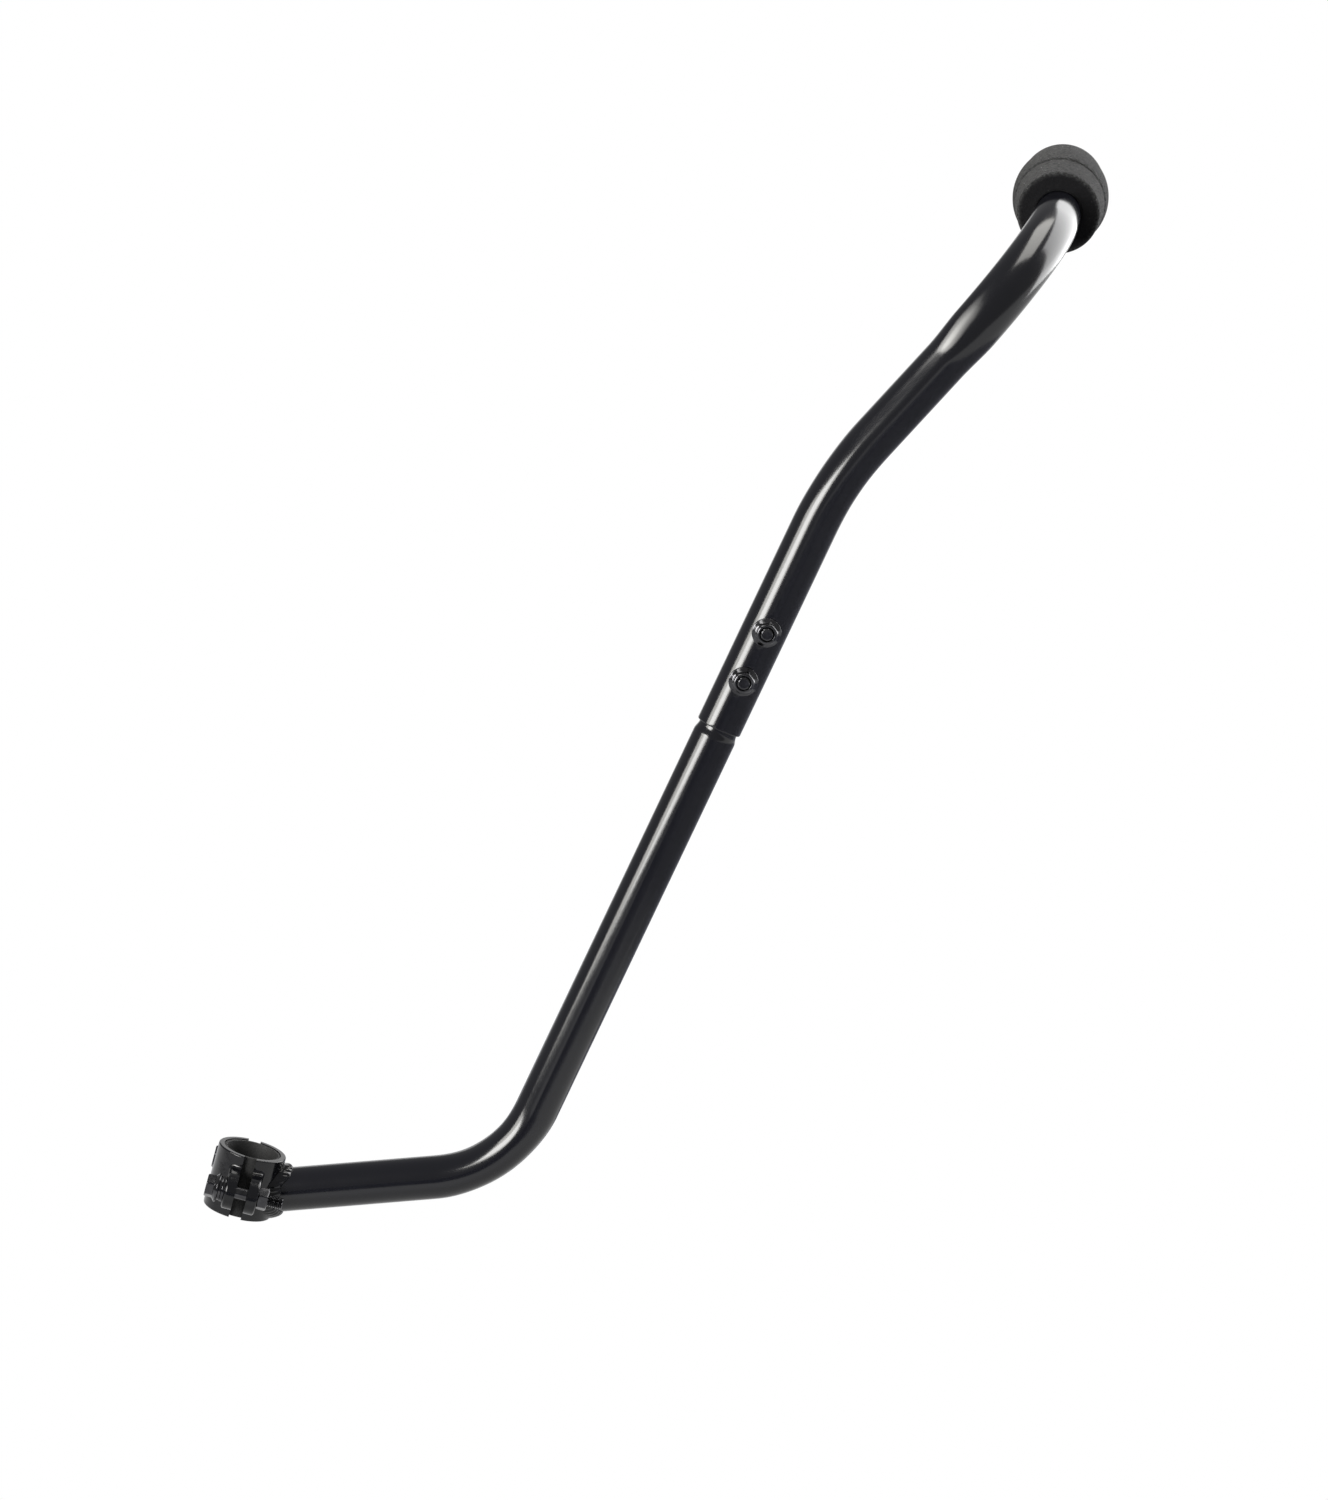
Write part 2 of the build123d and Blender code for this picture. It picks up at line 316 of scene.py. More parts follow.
def surface(name, points, along=False, caps=False, uv=None, sharp=radians(38)):
    """Mesh object of a grid of points whose last column joins its first.

    'along' joins the last row to the first as well. 'caps' closes the first and the last row, each with
    a fan round the row's mean point. 'uv' is a pair of arrays, one value for each row and each column,
    with one more of each where the grid closes. Faces are turned so that the enclosed volume is positive.
    """
    rows, columns = points.shape[:2]
    index = np.arange(rows * columns).reshape(rows, columns)
    index = np.column_stack([index, index[:, :1]])
    if along:
        index = np.vstack([index, index[:1]])
    quads = cells(index).reshape(-1, 4)
    vertices = points.reshape(-1, 3)
    fans = np.empty((0, 3), int)
    if caps:
        first, last = len(vertices), len(vertices) + 1
        vertices = np.vstack([vertices, points[0].mean(0), points[-1].mean(0)])
        start, end = index[0], index[-1]
        fans = np.vstack([
            np.column_stack([start[1:], start[:-1], np.full(columns, first)]),
            np.column_stack([end[:-1], end[1:], np.full(columns, last)]),
        ])
    a, b, c, d = (vertices[quads[:, k]] for k in range(4))
    e, f, g = (vertices[fans[:, k]] for k in range(3))
    volume = (a * (np.cross(b, c) + np.cross(c, d))).sum() + (e * np.cross(f, g)).sum()
    inside_out = volume < 0
    if inside_out:
        quads, fans = quads[:, ::-1], fans[:, ::-1]
    mesh = bpy.data.meshes.new(name)
    mesh.from_pydata(vertices.tolist(), [], quads.tolist() + fans.tolist())
    if uv is not None:
        corners = cells(np.stack(np.meshgrid(uv[0], uv[1], indexing="ij"), -1)).reshape(-1, 4, 2)
        if inside_out:
            corners = corners[:, ::-1]
        loops = np.zeros((len(mesh.loops), 2))
        loops[:4 * len(quads)] = corners.reshape(-1, 2)
        mesh.uv_layers.new(name="along_and_around").data.foreach_set("uv", loops.ravel())
    mesh.polygons.foreach_set("use_smooth", np.ones(len(mesh.polygons), bool))
    mesh.set_sharp_from_angle(angle=sharp)
    made = bpy.data.objects.new(name, mesh)
    bpy.context.scene.collection.objects.link(made)
    return made


def noise_field(rows, columns, row_blur, column_blur, seed):
    """Smooth random grid between -1 and 1 that repeats at its borders: white noise with its waves faded.

    A wave fades as a Gaussian of its frequency times the blur.
    """
    waves = np.fft.rfft2(np.random.default_rng(seed).standard_normal((rows, columns)))
    row_waves = np.fft.fftfreq(rows)[:, None] * row_blur
    column_waves = np.fft.rfftfreq(columns)[None, :] * column_blur
    fade = np.exp(-2 * pi**2 * (row_waves**2 + column_waves**2))
    field = np.fft.irfft2(waves * fade, s=(rows, columns))
    return field / np.abs(field).max()


def centre_line(corners, bend_radii, flattenings, side):
    """Straight runs and arcs of a bent tube's centre line.

    Each piece is its length, start, heading, side vector, direction to the arc's centre, radius and
    flattening. The side vector turns with each arc about the arc's axis, so the section never twists.
    """
    pieces = []
    start = corners[0]
    bends = zip(corners, corners[1:], corners[2:], bend_radii, flattenings)
    for before, corner, after, radius, flat in bends:
        heading = unit(corner - before)
        leaving = unit(after - corner)
        turn = np.arccos(heading @ leaving)
        inward = unit(leaving - heading * (heading @ leaving))
        arc_start = corner - heading * radius * tan(turn / 2)
        pieces.append((np.linalg.norm(arc_start - start), start, heading, side, inward, 0.0, 0.0))
        pieces.append((radius * turn, arc_start, heading, side, inward, radius, flat))
        side = turn_about(np.cross(heading, inward), side, turn)
        start = corner + leaving * radius * tan(turn / 2)
    pieces.append((np.linalg.norm(corners[-1] - start), start, leaving, side, inward, 0.0, 0.0))
    return pieces


def tube_points(pieces, stations, radii, angles):
    """Grid of a tube's skin: a circle of each station's radius, carried square to the centre line.

    On an arc the point moves on the arc's circle and the section turns with it. There the section is
    flattened towards the arc's centre and widened across it by the same share, which ramps up and down
    over the arc's ends.
    """
    rows = np.empty((len(stations), len(angles), 3))
    circle_side = np.cos(angles)[None, :, None]
    circle_up = np.sin(angles)[None, :, None]
    reached = 0.0
    for number, (length, start, heading, side, inward, bend, flat) in enumerate(pieces):
        last = number == len(pieces) - 1
        here = (stations >= reached) & ((stations < reached + length) | last)
        run = stations[here] - reached
        turn = run / bend if bend else np.zeros_like(run)
        axis = np.cross(heading, inward)
        c, s = np.cos(turn)[:, None], np.sin(turn)[:, None]
        if bend:
            middle = start + bend * (s * heading + (1 - c) * inward)
        else:
            middle = start + run[:, None] * heading
        tangent = c * heading + s * inward
        towards = c * inward - s * heading
        side_now = turn_about(axis, side, turn[:, None])
        up_now = np.cross(tangent, side_now)
        offset = circle_side * side_now[:, None, :] + circle_up * up_now[:, None, :]
        ramp = flat * smooth(run / flattening_ramp) * smooth((length - run) / flattening_ramp)
        inside = np.einsum("ijk,ik->ij", offset, towards)[..., None] * towards[:, None, :]
        outside = np.einsum("ijk,k->ij", offset, axis)[..., None] * axis
        offset = offset + ramp[:, None, None] * (outside - inside)
        rows[here] = middle[:, None, :] + radii[here][:, None, None] * offset
        reached += length
    return rows


def line_length(pieces):
    """Length of a centre line."""
    return sum(piece[0] for piece in pieces)


def cope_station(radius, angles):
    """Distance along the lower run at which a wall of that radius leaves the clamp's rear shell.

    Along the line through each point of the circle, the distance from the bore's axis equals the shell's
    radius: the larger root of a quadratic.
    """
    start = run_start + radius * around(lower_direction, to_the_right, angles)
    across = start - (start @ bore_axis)[:, None] * bore_axis
    heading = lower_direction - (lower_direction @ bore_axis) * bore_axis
    a = heading @ heading
    b = across @ heading
    c = np.einsum("ij,ij->i", across, across) - shell_outer_radius**2
    return (np.sqrt(b * b - a * c) - b) / a


def hollow_skin(name, outer, inner, stations, radius):
    """Tube's skin out along the outer wall and back along the inner one, unrolled for the finish."""
    rows = np.concatenate([stations, stations[::-1], stations[:1]])
    girth = np.linspace(0, 2 * pi * radius, outer.shape[1] + 1)
    return surface(name, np.concatenate([outer, inner[::-1]]), along=True, uv=(rows, girth))


def make_lower_tube():
    """Lower tube as a hollow skin, coped to the clamp at its foot and necked at its top.

    Near the foot each wall is pushed along the run by its cope, which fades out over a short length.
    """
    shoulder_top = joint_end - riser_direction * shoulder_gap
    neck_end = joint_end + riser_direction * neck_length
    line = centre_line(
        [run_start, first_corner, neck_end], [lower_bend_radius], [lower_bend_flattening], to_the_right
    )
    length = line_length(line)
    shoulder_station = length - np.linalg.norm(neck_end - shoulder_top)
    fine_start = shoulder_station - 3 * shoulder_length
    fine_end = shoulder_station + 2 * shoulder_gap
    angles = full_turn(lower_tube_columns)
    stations = np.unique(np.concatenate([
        np.linspace(0, fine_start, lower_tube_rows),
        np.linspace(fine_start, fine_end, shoulder_rows),
        np.linspace(fine_end, length, neck_rows),
    ]))
    necking = smooth((stations - shoulder_station + shoulder_length) / shoulder_length)
    radii = lower_radius + (neck_radius - lower_radius) * necking
    walls = []
    for wall in (0.0, lower_wall):
        skin = tube_points(line, stations, radii - wall, angles)
        cope = cope_station(lower_radius - wall, angles)
        shift = cope[None, :] * np.clip(1 - stations / cope_fade, 0, 1)[:, None]
        walls.append(skin + shift[..., None] * lower_direction)
    return hollow_skin("lower_tube_skin", *walls, stations, lower_radius)


def make_upper_tube():
    """Upper tube as a hollow skin with a rounded mouth and flats pressed in under the joint's flanges.

    A flat limits how far the wall stands out, and the limit slopes away beyond the flange's rim.
    """
    line = centre_line(
        [joint_end, second_corner, third_corner, bar_end],
        [crank_bend_radius, top_bend_radius],
        [crank_bend_flattening, top_bend_flattening],
        to_the_right,
    )
    angles = full_turn(upper_tube_columns)
    quarter = np.linspace(0, pi / 2, mouth_rows)
    mouth = mouth_round * (1 - np.cos(quarter))
    stations = np.concatenate([mouth, np.linspace(mouth_round, line_length(line), upper_tube_rows)[1:]])
    radii = np.full_like(stations, upper_radius)
    radii[:mouth_rows] -= mouth_round * (1 - np.sin(quarter))
    outer = tube_points(line, stations, radii, angles)
    for node in ("lower_joint_nut", "upper_joint_nut"):
        centre = node_centre(node)
        away = np.hypot(outer[..., 0] - centre[0], outer[..., 2] - centre[2])
        limit = upper_radius - bolt_seat_depth + bolt_seat_slope * np.maximum(0, away - flange_radius)
        pressed = np.clip(outer[..., 1], -limit, limit)
        outer[..., 1] = np.where(away < 2 * flange_radius, pressed, outer[..., 1])
    inner = tube_points(line, stations, np.full_like(stations, upper_radius - upper_wall), angles)
    return hollow_skin("upper_tube_skin", outer, inner, stations, upper_radius)


def make_weld():
    """Weld bead in the corner between tube and shell, as a closed section carried round the tube.

    The section runs from the toe on the tube over a bulged crown to the toe on the shell and back through
    the corner. The crown is a parabola whose bulge swells in ripples along the bead and in random lumps.
    """
    angles = full_turn(weld_columns)
    out = around(lower_direction, to_the_right, angles)
    reach = weld_reach * (1 + weld_reach_spread * noise_field(4, weld_columns, 1, 9, 3)[0])
    leg = weld_leg * (1 - weld_leg_spread + weld_leg_spread * noise_field(4, weld_columns, 1, 7, 4)[0])
    narrow = cope_station(lower_radius, angles)
    corner = run_start + narrow[:, None] * lower_direction + lower_radius * out
    tube_toe = corner + reach[:, None] * lower_direction
    wide = cope_station(lower_radius + weld_leg, angles)
    shell_toe = run_start + wide[:, None] * lower_direction + (lower_radius + leg)[:, None] * out
    share = np.linspace(0, 1, weld_rows)[:, None]
    crown_direction = (tube_toe + shell_toe) / 2 - corner
    crown_direction /= np.linalg.norm(crown_direction, axis=1, keepdims=True)
    length = angles * (lower_radius + weld_leg / 2)
    ripple_count = length[-1] / weld_ripple_pitch
    phase = length[None, :] / weld_ripple_pitch + weld_ripple_bow * (share - 0.5) ** 2
    phase = phase * round(ripple_count) / ripple_count
    ripples = weld_ripple_height * np.abs(np.sin(pi * phase))
    lumps = weld_lump_height * noise_field(weld_rows, weld_columns, 5, 6, 5)
    lift = (weld_bulge + ripples + lumps) * 4 * share * (1 - share)
    chord = (1 - share[..., None]) * tube_toe + share[..., None] * shell_toe
    crown = chord + lift[..., None] * crown_direction
    toe_under = (tube_toe - out * weld_root_inset)[None]
    shell_under = (shell_toe - lower_direction * weld_root_inset)[None]
    root = (corner - (out + lower_direction) * weld_root_inset)[None]
    points = np.concatenate([crown, shell_under, root, toe_under])
    return surface("weld_bead", points, along=True, sharp=radians(60))


def make_liner(name, facing):
    """Half of the rubber lining: a rounded section carried not quite half round the bore."""
    outer = bore_radius + liner_thickness
    low, high = -clamp_height / 2 + liner_inset, clamp_height / 2 - liner_inset
    radius, height = rounded_loop((bore_radius, low), (outer, high), liner_round).T
    half = pi / 2 - liner_clearance / bore_radius
    angles = np.linspace(-half, half, liner_rows)
    ring = around(bore_axis, facing, angles)
    points = height[None, :, None] * bore_axis + radius[None, :, None] * ring[:, None, :]
    return surface(name, points, caps=True)


def arc_rows(centre, radius, start, end, count):
    """Points of an arc in a profile's plane, from one angle to another."""
    angle = np.linspace(start, end, count)
    return np.column_stack([centre[0] + radius * np.cos(angle), centre[1] + radius * np.sin(angle)])


def line_rows(start, end, count):
    """Points of a straight stretch of a profile, without its end."""
    share = np.linspace(0, 1, count, endpoint=False)[:, None]
    return np.array(start) * (1 - share) + np.array(end) * share


def grip_radius(station):
    """Outer radius of the grip along its axis: two tapering ends, a barrel and a crease at each join."""
    middle = grip_length / 2
    from_end = np.minimum(station, grip_length - station)
    taper = grip_end_radius + (grip_crease_radius - grip_end_radius) * from_end / grip_crease_station
    swell = (grip_middle_radius - grip_crease_radius) * (
        1 - ((station - middle) / (middle - grip_crease_station)) ** 2
    )
    barrel = grip_crease_radius + swell
    radius = np.where(from_end < grip_crease_station, taper, barrel)
    crease = np.exp(-((from_end - grip_crease_station) / (grip_crease_width / 2)) ** 2)
    return radius - grip_crease_depth * crease


def make_grip():
    """Foam grip turned about the bar: bore, near face, rounded edge, creased barrel and domed far end.

    The skin is then pushed in by two random fields, wide dents and small pores: along the radius, and on
    the near face along the axis. The near face is marked for the finish's painted shade.
    """
    hole = upper_radius + grip_clearance
    depth = grip_length - grip_end_wall + grip_clearance
    mouth = grip_mouth_round
    near_top = grip_radius(grip_inner_round)
    near_edge = near_top - grip_inner_round
    far_start = grip_length - grip_outer_round
    far_edge = grip_radius(np.array(far_start)) - grip_outer_round
    side_stations = np.linspace(grip_inner_round, far_start, grip_side_rows)
    profile = np.concatenate([
        line_rows((depth, grip_pole_radius), (depth, hole), 4),
        line_rows((depth, hole), (mouth, hole), 12),
        arc_rows((mouth, hole + mouth), mouth, -pi / 2, -pi, 6),
        line_rows((0, hole + mouth + grip_face_margin), (0, near_edge), 14),
        arc_rows((grip_inner_round, near_edge), grip_inner_round, pi, pi / 2, 14)[:-1],
        np.column_stack([side_stations, grip_radius(side_stations)]),
        arc_rows((far_start, far_edge), grip_outer_round, pi / 2, 0, 26)[1:],
        line_rows((grip_length, far_edge - grip_face_margin), (grip_length, grip_pole_radius), 8),
    ])
    station, reach = profile.T
    size = (len(profile), grip_columns)
    dents = foam_dent_height * (noise_field(*size, 10, 12, 11) - 1) / 2
    pores = foam_pore_height * (noise_field(*size, 1.1, 1.1, 12) - 1) / 2
    outside = smooth((reach - hole - foam_skin_start) / foam_skin_fade)
    pushed = (dents + pores) * outside[:, None]
    radius = reach[:, None] + pushed
    along = station[:, None] - pushed * (station < grip_face_margin)[:, None]
    up = np.cross(bar_direction, unit(np.cross(crank_direction, bar_direction)))
    ring = around(bar_direction, up, full_turn(grip_columns))
    points = bar_start + along[..., None] * bar_direction + radius[..., None] * ring
    grip = surface("foam_grip_skin", points, caps=True, sharp=radians(80))
    # Mask of the near end face, where the finish paints shade into the colour
    painted_shade_face = smooth((near_top - grip_face_margin - reach) / grip_face_fade) * (station < grip_inner_round)
    shade = np.append(np.repeat(painted_shade_face, grip_columns), [0.0, 0.0]).astype(np.float32)
    grip.data.attributes.new("end_face_painted_shade", "FLOAT", "POINT").data.foreach_set("value", shade)
    return grip


def soft_min(a, b, softness):
    """Smaller of two lengths, with the corner between them rounded over about that softness."""
    return -softness * np.log(np.exp(-a / softness) + np.exp(-b / softness))


def hexagon_radius(angles):
    """Distance to a hexagon's sides, a corner at angle 0.

    It is the apothem over a high power mean of six cosines, which rounds the corners a little.
    """
    power = 90
    sides = np.cos(angles[:, None] - (np.arange(6) + 0.5) * pi / 3)
    return hex_apothem / (np.maximum(sides, 0) ** power).sum(1) ** (1 / power)


def turned(name, base, axis, first, heights, radii, closed):
    """Grid about an axis: each row at a height along it, with a radius for each of the row's angles."""
    ring = around(axis, first, full_turn(radii.shape[1]))
    points = base + heights[:, None, None] * axis + radii[..., None] * ring
    return surface(name, points, along=closed, caps=not closed, sharp=radians(34))


def flanged_hexagon(angles, top, crown, top_radius, softness):
    """Heights and radii of a flange and hexagon, from the bearing face's edge to the top face's edge.

    At each angle the wider of the two counts. The rim's edges are quarter rounds, and a crown cuts the
    hexagon's upper corners: a quarter ellipse from the top face's edge out to beyond the corners.
    """
    quarter = np.linspace(0, pi / 2, 6)
    rise = rim_round * (1 - np.cos(quarter))
    fall = rim_round * (1 - np.sin(quarter))
    low = np.column_stack([rise, flange_radius - fall])
    high = np.column_stack([flange_rim - fall, flange_radius - rise])
    cone = line_rows(high[-1], (flange_height, flange_top_radius), 12)[1:]
    heights = np.concatenate([
        np.linspace(flange_height, top - crown, 8),
        top - crown + crown * np.sin(np.linspace(0.04, pi / 2, 24)),
    ])
    flange = np.concatenate([low, high, cone, np.column_stack([heights, np.zeros_like(heights)])])
    risen = np.clip(1 - (top - flange[:, 0]) / crown, 0, 1)
    cut = top_radius + (crown_radius - top_radius) * np.sqrt(1 - risen**2)
    hexagon = soft_min(hexagon_radius(angles)[None, :], cut[:, None], softness)
    return flange[:, 0], np.maximum(flange[:, 1:], hexagon)


def nut_bore_rows(height, columns):
    """Rows of a nut's top face, countersunk bore and lower countersink, as heights and radii."""
    lip = nut_bore + nut_countersink
    rows = np.array([
        (height, lip + 1.5 * nut_lip),
        (height, lip + nut_lip),
        (height - 0.4 * nut_lip, lip),
        (height - nut_countersink, nut_bore),
        (nut_countersink, nut_bore),
        (0, lip),
    ])
    return rows[:, 0], np.repeat(rows[:, 1:], columns, 1)


def make_bolt(name, base, axis, corner, length):
    """Flange bolt: threaded shank, flange and chamfered hexagon as one grid about the bolt's axis.

    The thread is a triangle wave of height minus turn, so that its crest climbs one pitch a turn.
    """
    angles = full_turn(fastener_columns)
    end = bolt_end_round * (1 - np.cos(np.linspace(0, pi / 2, 9)))
    thread = np.linspace(bolt_end_round, thread_length, int(thread_length / thread_pitch * thread_rows))
    plain = [thread_length + thread_runout, length - head_root, length]
    depths = np.concatenate([end, thread[1:], plain]) - length
    wave = np.abs(((depths[:, None] / thread_pitch - angles[None, :] / (2 * pi)) % 1) * 2 - 1)
    fade = smooth((thread_length - length - depths) / (2 * thread_pitch))[:, None]
    shank = thread_radius - thread_depth * wave * fade
    risen = np.clip(1 - (depths + length) / bolt_end_round, 0, 1)
    shank = np.minimum(shank, thread_radius - bolt_end_step * (1 - np.sqrt(1 - risen**2))[:, None])
    heights, skin = flanged_hexagon(angles, head_height, head_crown, chamfer_top_radius, edge_softness)
    top = skin[-1:] * np.linspace(0.97, 0.05, 8)[:, None]
    heights = np.concatenate([depths, heights, np.full(len(top), head_height)])
    return turned(name, base, axis, corner, heights, np.concatenate([shank, skin, top]), False)


def make_flange_nut(name, base, axis, corner):
    """Flange nut: the flanged hexagon's skin, closed through its countersunk bore."""
    angles = full_turn(fastener_columns)
    heights, skin = flanged_hexagon(angles, flange_nut_height, nut_crown, nut_top_radius, crown_softness)
    bore_heights, bore = nut_bore_rows(flange_nut_height, len(angles))
    rows = np.concatenate([heights, bore_heights])
    return turned(name, base, axis, corner, rows, np.concatenate([skin, bore]), True)


def make_plain_nut(name, base, axis, corner):
    """Plain nut: a hexagon whose corners a cone cuts at both ends, closed through its bore."""
    angles = full_turn(fastener_columns)
    half = plain_nut_height / 2
    from_middle = np.linspace(-1, 1, 60)
    heights = half + half * np.sign(from_middle) * np.sqrt(np.abs(from_middle))
    chamfer = chamfer_top_radius + chamfer_slope * np.minimum(heights, plain_nut_height - heights)
    skin = soft_min(hexagon_radius(angles)[None, :], chamfer[:, None], edge_softness)
    bore_heights, bore = nut_bore_rows(plain_nut_height, len(angles))
    rows = np.concatenate([heights, bore_heights])
    return turned(name, base, axis, corner, rows, np.concatenate([skin, bore]), True)


def rounded_loop(low, high, size):
    """Closed outline of a rectangle with quarter round corners, from its lowest and highest corner."""
    left, right = low[0] + size, high[0] - size
    bottom, top = low[1] + size, high[1] - size
    corners = [(right, top), (left, top), (left, bottom), (right, bottom)]
    return np.concatenate([
        arc_rows(corner, size, quarter * pi / 2, (quarter + 1) * pi / 2, 6)
        for quarter, corner in enumerate(corners)
    ])


def make_washer(name, base, axis, outer, split, slant):
    """Washer: a rounded section carried round the bolt, right round or up to a slanting split.

    At a split each point's angle moves on by its height times the slant's tangent over its radius.
    """
    radius, height = rounded_loop((hole_radius, 0), (outer, washer_thickness), washer_round).T
    half = split / (hole_radius + outer)
    turns = np.linspace(half, 2 * pi - half, washer_rows, endpoint=bool(split))
    angles = turns[:, None] + tan(slant) * (height - washer_thickness / 2) / radius
    points = base + height[:, None] * axis + radius[:, None] * around(axis, to_the_right, angles)
    return surface(name, points, along=not split, caps=bool(split))


class Tone:
    """A value that varies over a surface: one socket of a material's nodes, usable in Python sums."""

    def __init__(self, tree, socket):
        self.tree = tree
        self.socket = socket

    def node(self, kind, settings=None, inputs=None, output=0):
        """Any node by its type, its settings first, then the values or links of its sockets."""
        made = self.tree.nodes.new(kind)
        for key, value in (settings or {}).items():
            setattr(made, key, value)
        for key, value in (inputs or {}).items():
            if isinstance(value, Tone):
                self.tree.links.new(value.socket, made.inputs[key])
            else:
                made.inputs[key].default_value = value
        return Tone(self.tree, made.outputs[output])

    def maths(self, operation, first, second):
        """A Math node on two values, either of which may be a plain number."""
        return self.node("ShaderNodeMath", {"operation": operation}, {0: first, 1: second})

    def __add__(self, other):
        return self.maths("ADD", self, other)

    def __radd__(self, other):
        return self.maths("ADD", other, self)

    def __rsub__(self, other):
        return self.maths("SUBTRACT", other, self)

    def __mul__(self, other):
        return self.maths("MULTIPLY", self, other)


def finish(name):
    """New material with its shader: returns the material, its Principled node and a maker of nodes."""
    material = bpy.data.materials.new(name)
    material.use_nodes = True
    tree = material.node_tree
    shader = tree.nodes["Principled BSDF"]
    return material, shader, Tone(tree, None)


def feed(shader, maker, **sockets):
    """Links values to the shader's sockets, whose names are written with underscores."""
    for key, value in sockets.items():
        maker.tree.links.new(value.socket, shader.inputs[key.replace("_", " ").title()])


def noise(maker, place, scale, detail=2.0, roughness=0.5):
    """Noise texture's value, about 0 to 1, at that many cells in a metre."""
    return maker.node(
        "ShaderNodeTexNoise",
        {},
        {"Vector": place, "Scale": scale, "Detail": detail, "Roughness": roughness},
    )


def spread(maker, value, low, high, to_low=0.0, to_high=1.0):
    """Value from one range to another, held at both ends."""
    return maker.node(
        "ShaderNodeMapRange",
        {"clamp": True},
        {"Value": value, "From Min": low, "From Max": high, "To Min": to_low, "To Max": to_high},
    )


def blend(maker, share, first, second):
    """Mix of two colours by a share. The first may itself vary over the surface."""
    start = first if isinstance(first, Tone) else (*first, 1)
    colours = {"Factor": share, "A": start, "B": (*second, 1)}
    return maker.node("ShaderNodeMix", {"data_type": "RGBA"}, colours, output=2)


def bump(maker, height, strength, distance):
    """Normal from a height."""
    heights = {"Height": height, "Strength": strength, "Distance": distance}
    return maker.node("ShaderNodeBump", {}, heights)


def tube_enamel():
    """Gloss black enamel on steel tube: faint orange peel, dust and fine scuffs along the tube."""
    material, shader, maker = finish("gloss_black_enamel")
    place = maker.node("ShaderNodeTexCoord", output=3)
    on_skin = maker.node("ShaderNodeTexCoord", output=2)
    long_way = maker.node("ShaderNodeMapping", {}, {"Vector": on_skin, "Scale": (0.06, 1.0, 1.0)})
    peel = noise(maker, place, 420.0, detail=1.0)
    scuffs = spread(maker, noise(maker, long_way, 900.0, detail=3.0, roughness=0.6), 0.68, 0.78)
    where = spread(maker, noise(maker, place, 38.0), 0.5, 0.72)
    dust = spread(maker, noise(maker, place, 2600.0, detail=1.0), 0.76, 0.82)
    marks = scuffs * where
    gloss = spread(maker, noise(maker, place, 55.0, detail=3.0), 0.3, 0.7, 0.14, 0.18)
    feed(
        shader,
        maker,
        base_color=blend(maker, marks * 0.4 + dust * 0.25, enamel_black, dust_grey),
        roughness=gloss + marks * 0.1 + dust * 0.05,
        normal=bump(maker, peel, strength=0.008, distance=0.001),
    )
    shader.inputs["IOR"].default_value = 1.5
    return material


def clamp_enamel():
    """Gloss black enamel over a pressed and welded clamp: soft lumps and thin paint."""
    material, shader, maker = finish("thick_black_enamel")
    place = maker.node("ShaderNodeTexCoord", output=3)
    lumps = noise(maker, place, 190.0, detail=3.0, roughness=0.55)
    grain = noise(maker, place, 1500.0)
    dust = spread(maker, noise(maker, place, 2100.0, detail=1.0), 0.74, 0.82)
    feed(
        shader,
        maker,
        base_color=blend(maker, dust * 0.3, clamp_black, dust_grey),
        roughness=spread(maker, lumps, 0.3, 0.7, 0.1, 0.17) + dust * 0.08,
        normal=bump(maker, lumps + grain * 0.03, strength=0.12, distance=0.0008),
    )
    shader.inputs["IOR"].default_value = 1.43
    return material


def black_fasteners():
    """Bright black plating on steel: dark mirror metal, a little uneven."""
    material, shader, maker = finish("black_plated_steel")
    place = maker.node("ShaderNodeTexCoord", output=3)
    patches = noise(maker, place, 260.0)
    feed(
        shader,
        maker,
        base_color=blend(maker, spread(maker, patches, 0.35, 0.7), plating_dark, plating_light),
        roughness=spread(maker, patches, 0.3, 0.7, 0.12, 0.2),
        normal=bump(maker, patches, strength=0.04, distance=0.0006),
    )
    shader.inputs["Metallic"].default_value = 1.0
    return material


def liner_rubber():
    """Matte black rubber with fine grain."""
    material, shader, maker = finish("matte_black_rubber")
    place = maker.node("ShaderNodeTexCoord", output=3)
    grain = noise(maker, place, 1400.0, detail=3.0)
    bloom = spread(maker, noise(maker, place, 120.0), 0.4, 0.75)
    feed(
        shader,
        maker,
        base_color=blend(maker, bloom, rubber_dark, rubber_bloom),
        roughness=spread(maker, grain, 0.3, 0.7, 0.62, 0.85),
        normal=bump(maker, grain, strength=0.25, distance=0.0006),
    )
    return material


